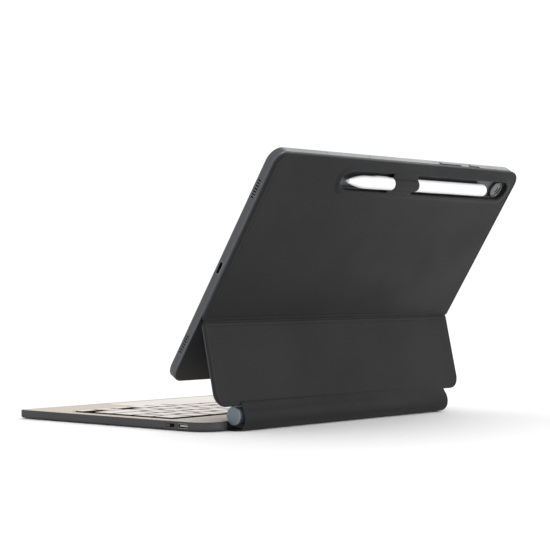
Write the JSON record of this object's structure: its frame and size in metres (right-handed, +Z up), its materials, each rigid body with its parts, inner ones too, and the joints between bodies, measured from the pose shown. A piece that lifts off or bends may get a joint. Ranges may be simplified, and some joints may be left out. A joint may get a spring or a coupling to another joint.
{
  "type": "tablet keyboard case",
  "caption": "Folding leather tablet case with a keyboard base, a rear hinge barrel, a creased stand that floats the docked tablet, and a looped stylus.",
  "frame": {"origin": "on the table plane, under the middle of the whole object's box in the pose shown", "axes": "+X to the user's right, +Y to the rear away from the user, +Z up"},
  "size_m": [0.255, 0.2384, 0.1724],
  "materials": {
    "dark_leather": "satin",
    "microfibre": "matt",
    "dark_shell": "satin",
    "warm_deck": "matt",
    "key_cap": "matt",
    "pad_face": "satin",
    "dark_plate": "matt",
    "silicone": "matt",
    "foot_rubber": "matt",
    "board": "satin",
    "cell_foil": "satin",
    "magnet_nickel": "plated",
    "steel": "turned",
    "bush_plastic": "moulded",
    "barrel_metal": "anodised",
    "port_steel": "drawn",
    "light_lens": "clear",
    "glass_board": "laminated",
    "tablet_metal": "anodised",
    "screen_glass": "polished",
    "lens_glass": "polished",
    "pen_white": "satin",
    "pen_tip": "moulded",
    "nib_grey": "matt"
  },
  "bodies": {
    "keyboard": {"base_tray": "dark_shell", "palm_deck": "warm_deck", "key_plate": "dark_plate", "dome_sheet": "silicone", "controller_board": "board", "battery_cells": "cell_foil", "closing_magnets": "magnet_nickel", "trackpad_switch": "board", "rubber_feet": "foot_rubber", "status_light": "light_lens", "charging_port_shell": "port_steel", "charging_port_tongue": "bush_plastic", "hinge_brackets": "steel", "hinge_screws": "steel", "hinge_wrap": "dark_leather"},
    "barrel": {"hinge_barrel": "barrel_metal", "barrel_bushings": "bush_plastic", "barrel_end_caps": "barrel_metal", "hinge_shaft": "steel"},
    "number_row": {"number_keys": "key_cap"},
    "upper_row": {"upper_letter_keys": "key_cap"},
    "home_row": {"home_letter_keys": "key_cap"},
    "lower_row": {"lower_letter_keys": "key_cap"},
    "left_modifiers": {"left_modifier_keys": "key_cap"},
    "space": {"space_bar": "key_cap"},
    "right_modifiers": {"right_modifier_keys": "key_cap"},
    "arrows": {"arrow_keys": "key_cap"},
    "touch_pad": {"trackpad": "pad_face"},
    "power_slider": {"power_switch": "dark_shell"},
    "stand": {"stand_cover": "dark_leather", "stand_stiffener": "glass_board", "stand_lining": "microfibre", "hinge_knuckles": "steel"},
    "upper_panel": {"crease_strip": "dark_leather", "upper_cover": "dark_leather", "upper_stiffener": "glass_board", "upper_lining": "microfibre", "holding_magnets": "magnet_nickel", "pen_loop": "dark_leather"},
    "tablet": {"tablet_housing": "tablet_metal", "display_glass": "screen_glass", "tablet_battery": "cell_foil", "tablet_board": "board", "camera_ring": "tablet_metal", "camera_lens": "lens_glass", "tablet_port_shell": "port_steel", "speaker_mesh": "steel"},
    "volume_key": {"volume_rocker": "tablet_metal"},
    "power_key": {"power_button": "tablet_metal"},
    "stylus": {"stylus_barrel": "pen_white", "stylus_core": "board", "stylus_tip": "pen_tip", "stylus_nib": "nib_grey", "stylus_cap": "pen_white"},
    "stylus_key": {"stylus_button": "pen_white"}
  },
  "joints": [
    {"name": "number_row_press", "type": "slide", "parent": "keyboard", "child": "number_row", "axis": [0, 0, -1], "range_m": [0, 0.001], "stiffness_N_per_m": 600, "springref_m": -0.0006},
    {"name": "upper_row_press", "type": "slide", "parent": "keyboard", "child": "upper_row", "axis": [0, 0, -1], "range_m": [0, 0.001], "stiffness_N_per_m": 600, "springref_m": -0.0006},
    {"name": "home_row_press", "type": "slide", "parent": "keyboard", "child": "home_row", "axis": [0, 0, -1], "range_m": [0, 0.001], "stiffness_N_per_m": 600, "springref_m": -0.0006},
    {"name": "lower_row_press", "type": "slide", "parent": "keyboard", "child": "lower_row", "axis": [0, 0, -1], "range_m": [0, 0.001], "stiffness_N_per_m": 600, "springref_m": -0.0006},
    {"name": "left_modifiers_press", "type": "slide", "parent": "keyboard", "child": "left_modifiers", "axis": [0, 0, -1], "range_m": [0, 0.001], "stiffness_N_per_m": 600, "springref_m": -0.0006},
    {"name": "space_press", "type": "slide", "parent": "keyboard", "child": "space", "axis": [0, 0, -1], "range_m": [0, 0.001], "stiffness_N_per_m": 600, "springref_m": -0.0006},
    {"name": "right_modifiers_press", "type": "slide", "parent": "keyboard", "child": "right_modifiers", "axis": [0, 0, -1], "range_m": [0, 0.001], "stiffness_N_per_m": 600, "springref_m": -0.0006},
    {"name": "arrows_press", "type": "slide", "parent": "keyboard", "child": "arrows", "axis": [0, 0, -1], "range_m": [0, 0.001], "stiffness_N_per_m": 600, "springref_m": -0.0006},
    {"name": "trackpad_press", "type": "slide", "parent": "keyboard", "child": "touch_pad", "axis": [0, 0, -1], "range_m": [0, 0.00035], "stiffness_N_per_m": 3000, "springref_m": -0.0002},
    {"name": "power_switch_slide", "type": "slide", "parent": "keyboard", "child": "power_slider", "axis": [0, 1, 0], "range_m": [0, 0.0038]},
    {"name": "barrel_turn", "type": "hinge", "parent": "keyboard", "child": "barrel", "pos_m": [0, 0.06134, 0.0096], "axis": [1, 0, 0], "range_deg": [-5, 32], "deforming": ["hinge_wrap"]},
    {"name": "stand_hinge", "type": "hinge", "parent": "barrel", "child": "stand", "pos_m": [0, 0.06134, 0.0096], "axis": [1, 0, 0], "range_deg": [-10, 45.4], "deforming": ["hinge_wrap"]},
    {"name": "crease_fold", "type": "hinge", "parent": "stand", "child": "upper_panel", "pos_m": [0, 0.05461, 0.06814], "axis": [1, 0, 0], "range_deg": [-10, 45.4]},
    {"name": "tablet_release", "type": "slide", "parent": "upper_panel", "child": "tablet", "axis": [0, 0.8406, -0.5417], "range_m": [-0.06, 0]},
    {"name": "volume_press", "type": "slide", "parent": "tablet", "child": "volume_key", "axis": [0, -0.5417, -0.8406], "range_m": [0, 0.0003], "stiffness_N_per_m": 3000, "springref_m": -0.0003},
    {"name": "tablet_power_press", "type": "slide", "parent": "tablet", "child": "power_key", "axis": [0, -0.5417, -0.8406], "range_m": [0, 0.0003], "stiffness_N_per_m": 3000, "springref_m": -0.0003},
    {"name": "stylus_release", "type": "slide", "parent": "upper_panel", "child": "stylus", "axis": [0, 0.8406, -0.5417], "range_m": [0, 0.012], "deforming": ["pen_loop"]},
    {"name": "stylus_button_press", "type": "slide", "parent": "stylus", "child": "stylus_key", "axis": [0, -0.5417, -0.8406], "range_m": [0, 0.00018], "stiffness_N_per_m": 2000, "springref_m": -0.0003}
  ],
  "couplings": [
    {"joint": "crease_fold", "follows": "stand_hinge", "ratio": 1}
  ]
}
